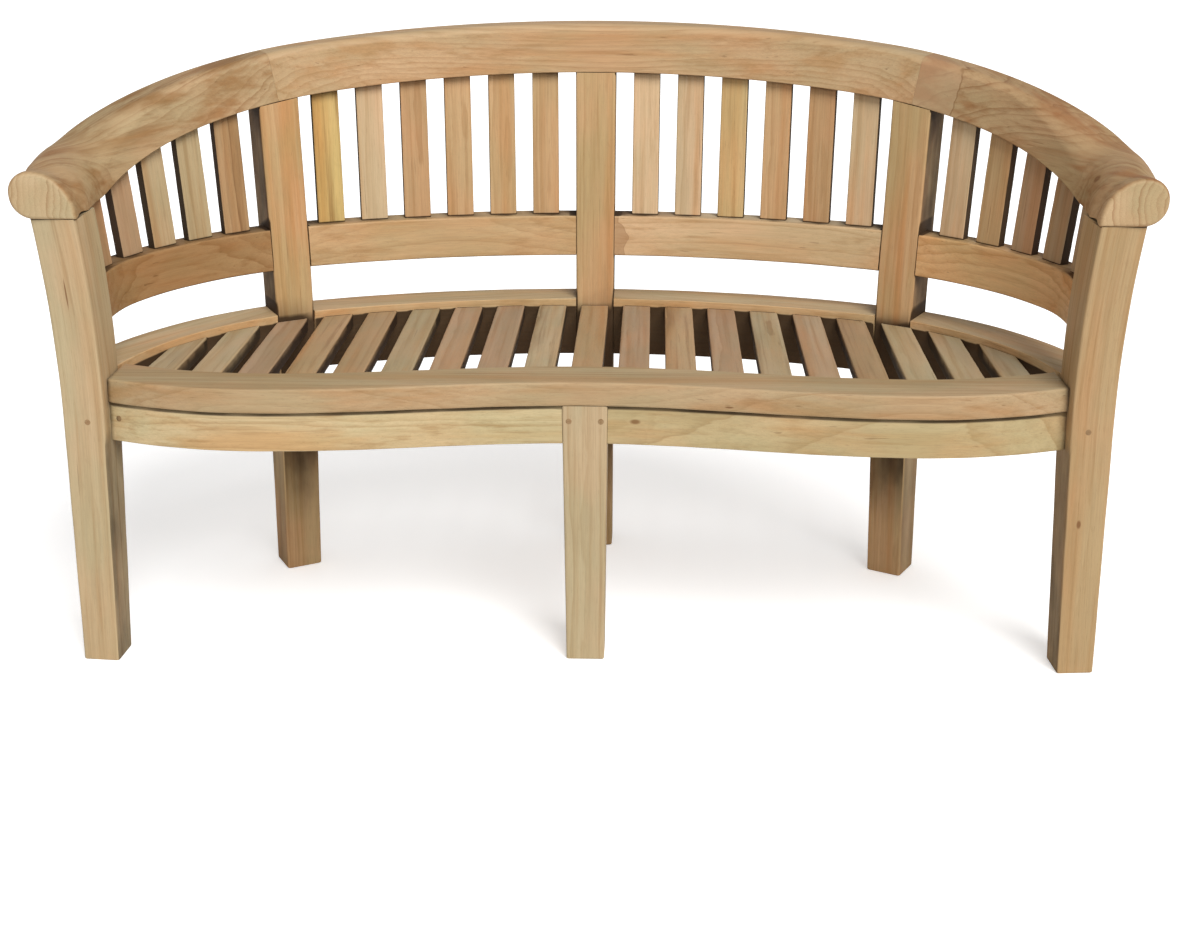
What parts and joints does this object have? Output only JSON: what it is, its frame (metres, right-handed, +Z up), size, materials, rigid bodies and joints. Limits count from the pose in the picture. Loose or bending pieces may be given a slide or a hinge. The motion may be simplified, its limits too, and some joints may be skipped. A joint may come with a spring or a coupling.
{
  "type": "garden bench",
  "caption": "Kidney-shaped teak garden bench with a slatted seat, a curved and slatted back, and rolled arms on splayed front posts.",
  "frame": {"origin": "middle of the bounding box's base, on the floor between the legs", "axes": "+X along the bench, towards the arm on the right when seen from the front; the front faces -Y and the back is towards +Y; +Z up"},
  "size_m": [1.5658, 0.6033, 0.853],
  "materials": {
    "leg_teak": "satin, lightly sanded",
    "top_rail_teak": "satin, lightly sanded",
    "rail_teak": "satin, lightly sanded",
    "back_slat_teak": "satin, lightly sanded",
    "seat_slat_teak": "satin, lightly sanded",
    "board_teak": "satin, lightly sanded"
  },
  "bodies": {
    "root": {"back_leg_centre": "leg_teak", "back_leg_left": "leg_teak", "back_leg_right": "leg_teak", "back_slat_arm_left_1": "back_slat_teak", "back_slat_arm_left_2": "back_slat_teak", "back_slat_arm_left_3": "back_slat_teak", "back_slat_arm_left_4": "back_slat_teak", "back_slat_arm_right_1": "back_slat_teak", "back_slat_arm_right_2": "back_slat_teak", "back_slat_arm_right_3": "back_slat_teak", "back_slat_arm_right_4": "back_slat_teak", "back_slat_mid_left_1": "back_slat_teak", "back_slat_mid_left_2": "back_slat_teak", "back_slat_mid_left_3": "back_slat_teak", "back_slat_mid_left_4": "back_slat_teak", "back_slat_mid_left_5": "back_slat_teak", "back_slat_mid_left_6": "back_slat_teak", "back_slat_mid_right_1": "back_slat_teak", "back_slat_mid_right_2": "back_slat_teak", "back_slat_mid_right_3": "back_slat_teak", "back_slat_mid_right_4": "back_slat_teak", "back_slat_mid_right_5": "back_slat_teak", "back_slat_mid_right_6": "back_slat_teak", "front_apron_left": "rail_teak", "front_apron_right": "rail_teak", "front_leg_centre": "leg_teak", "front_leg_left": "leg_teak", "front_leg_right": "leg_teak", "lower_rail_arm_left": "rail_teak", "lower_rail_arm_right": "rail_teak", "lower_rail_mid_left": "rail_teak", "lower_rail_mid_right": "rail_teak", "seat_front_board": "board_teak", "seat_rail_arm_left": "rail_teak", "seat_rail_arm_right": "rail_teak", "seat_rail_mid_left": "rail_teak", "seat_rail_mid_right": "rail_teak", "seat_slat_01": "seat_slat_teak", "seat_slat_02": "seat_slat_teak", "seat_slat_03": "seat_slat_teak", "seat_slat_04": "seat_slat_teak", "seat_slat_05": "seat_slat_teak", "seat_slat_06": "seat_slat_teak", "seat_slat_07": "seat_slat_teak", "seat_slat_08": "seat_slat_teak", "seat_slat_09": "seat_slat_teak", "seat_slat_10": "seat_slat_teak", "seat_slat_11": "seat_slat_teak", "seat_slat_12": "seat_slat_teak", "seat_slat_13": "seat_slat_teak", "seat_slat_14": "seat_slat_teak", "seat_slat_15": "seat_slat_teak", "seat_slat_16": "seat_slat_teak", "seat_slat_17": "seat_slat_teak", "seat_slat_18": "seat_slat_teak", "seat_slat_19": "seat_slat_teak", "top_rail_arm_left": "top_rail_teak", "top_rail_arm_right": "top_rail_teak", "top_rail_centre": "top_rail_teak"}
  },
  "joints": []
}
